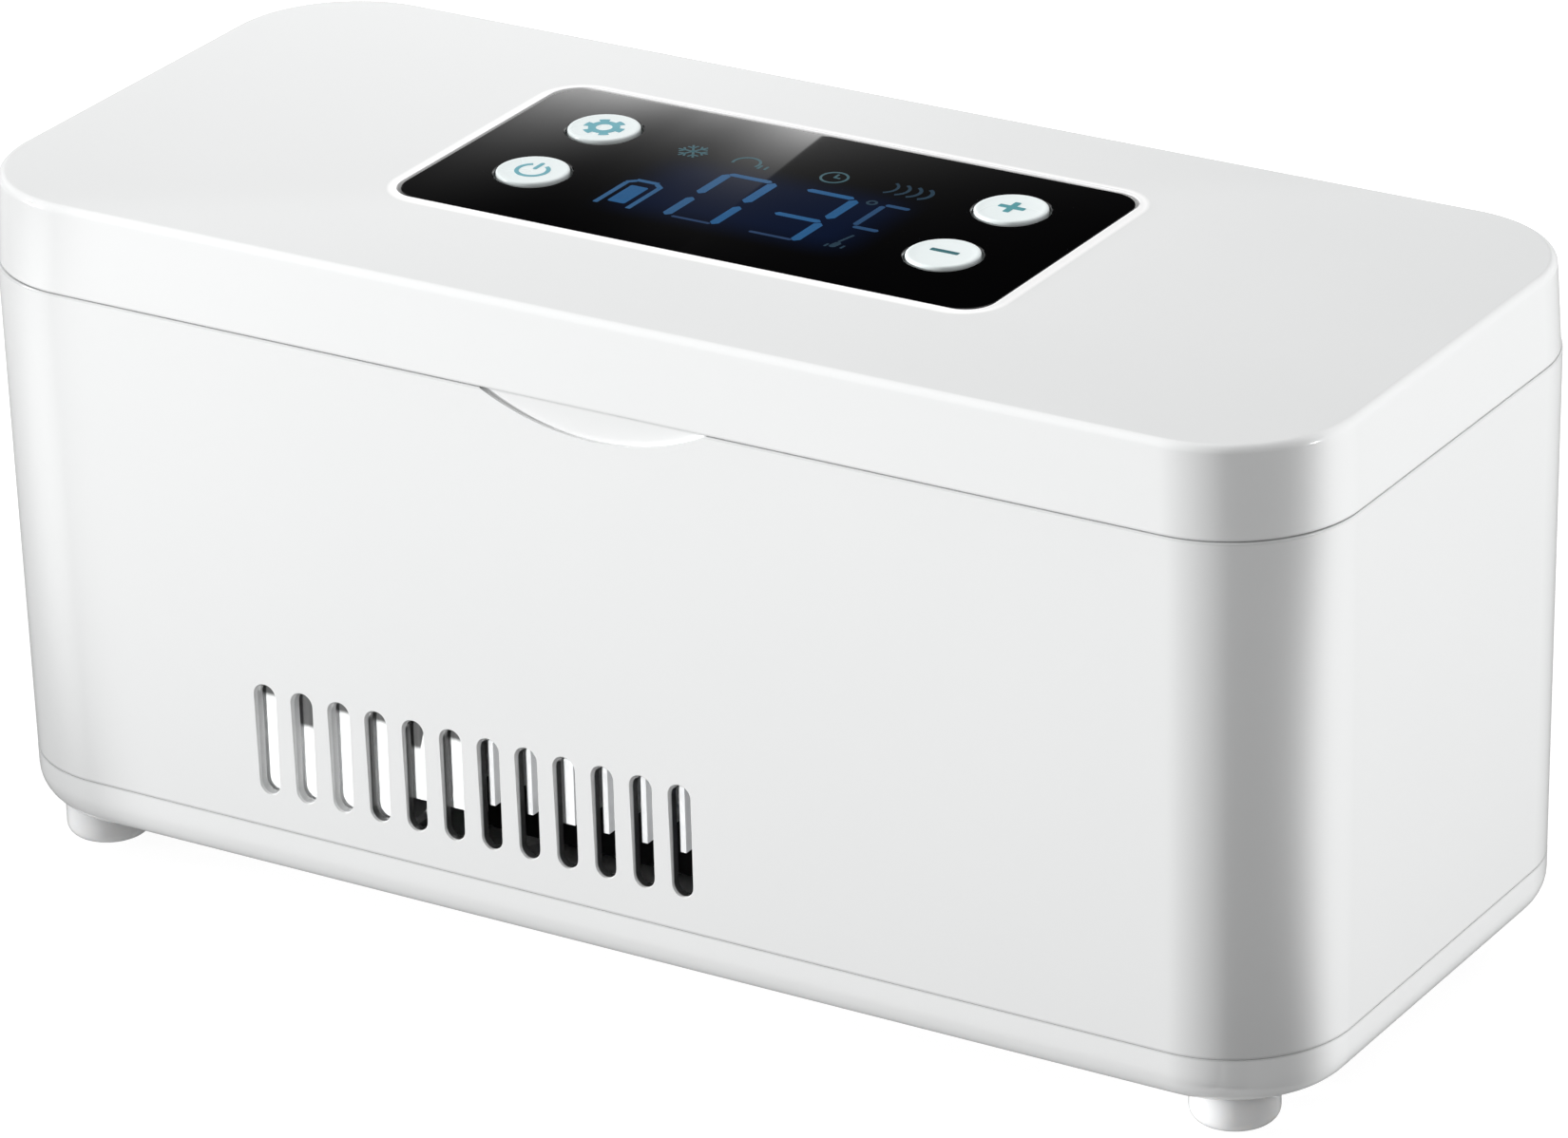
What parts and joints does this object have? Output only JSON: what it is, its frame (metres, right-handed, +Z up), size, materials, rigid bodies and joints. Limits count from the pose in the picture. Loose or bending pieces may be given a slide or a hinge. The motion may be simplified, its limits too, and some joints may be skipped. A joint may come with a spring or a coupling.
{
  "type": "insulin cooling case",
  "caption": "White bench-top cooling case with a hinged lid, black display window, round push buttons, front air slots, short feet and a lined cold chamber.",
  "frame": {"origin": "middle of the outline in plan, on the surface that the feet stand on", "axes": "+Z up; +X along the length, to the right of someone facing the front; the front face with the slots looks towards -Y"},
  "size_m": [0.205, 0.0904, 0.0978],
  "materials": {
    "white_gloss": "gloss",
    "white_matt": "satin",
    "foot_plastic": "gloss",
    "window_black": "gloss",
    "button_white": "gloss",
    "black_plastic": "satin",
    "aluminium": "satin",
    "steel": "satin",
    "ceramic": "matt",
    "board_green": "satin",
    "foam": "matt",
    "gasket_rubber": "matt",
    "pack_wrap": "satin",
    "lcd": "gloss"
  },
  "bodies": {
    "case": {"body_shell": "white_gloss", "base_tray": "white_gloss", "foot_front_left": "foot_plastic", "foot_front_right": "foot_plastic", "foot_rear_left": "foot_plastic", "foot_rear_right": "foot_plastic", "base_screw_front_left": "steel", "base_screw_front_right": "steel", "base_screw_rear_left": "steel", "base_screw_rear_right": "steel", "chamber_bezel": "white_matt", "body_magnet_left": "steel", "body_magnet_right": "steel", "chamber_liner": "aluminium", "insulation": "foam", "cold_block": "aluminium", "thermoelectric_module": "ceramic", "heat_sink": "aluminium", "heat_sink_screw_left": "steel", "heat_sink_screw_right": "steel", "air_baffle": "white_matt", "fan_frame": "black_plastic", "battery_pack": "pack_wrap", "main_board": "board_green", "power_socket": "black_plastic", "hinge_pin_left": "steel", "hinge_pin_right": "steel"},
    "fan_rotor": {"fan_rotor": "black_plastic"},
    "lid": {"lid_shell": "white_gloss", "display_window": "window_black", "lcd_module": "lcd", "display_board": "board_green", "lid_foam": "foam", "lid_panel": "white_matt", "lid_gasket": "gasket_rubber", "lid_magnet_left": "steel", "lid_magnet_right": "steel", "lid_screw_left": "steel", "lid_screw_right": "steel"},
    "button_settings": {"button_settings": "button_white"},
    "button_power": {"button_power": "button_white"},
    "button_plus": {"button_plus": "button_white"},
    "button_minus": {"button_minus": "button_white"}
  },
  "joints": [
    {"name": "lid_hinge", "type": "hinge", "parent": "case", "child": "lid", "pos_m": [0, 0.04315, 0.0848], "axis": [-1, 0, 0], "range_deg": [0, 100]},
    {"name": "fan_spin", "type": "hinge", "parent": "case", "child": "fan_rotor", "pos_m": [-0.0085, -0.00105, 0.0154], "axis": [0, 0, 1], "continuous": true},
    {"name": "settings_press", "type": "slide", "parent": "lid", "child": "button_settings", "axis": [0, 0, -1], "range_m": [0, 0.0005], "stiffness_N_per_m": 800},
    {"name": "power_press", "type": "slide", "parent": "lid", "child": "button_power", "axis": [0, 0, -1], "range_m": [0, 0.0005], "stiffness_N_per_m": 800},
    {"name": "plus_press", "type": "slide", "parent": "lid", "child": "button_plus", "axis": [0, 0, -1], "range_m": [0, 0.0005], "stiffness_N_per_m": 800},
    {"name": "minus_press", "type": "slide", "parent": "lid", "child": "button_minus", "axis": [0, 0, -1], "range_m": [0, 0.0005], "stiffness_N_per_m": 800}
  ]
}
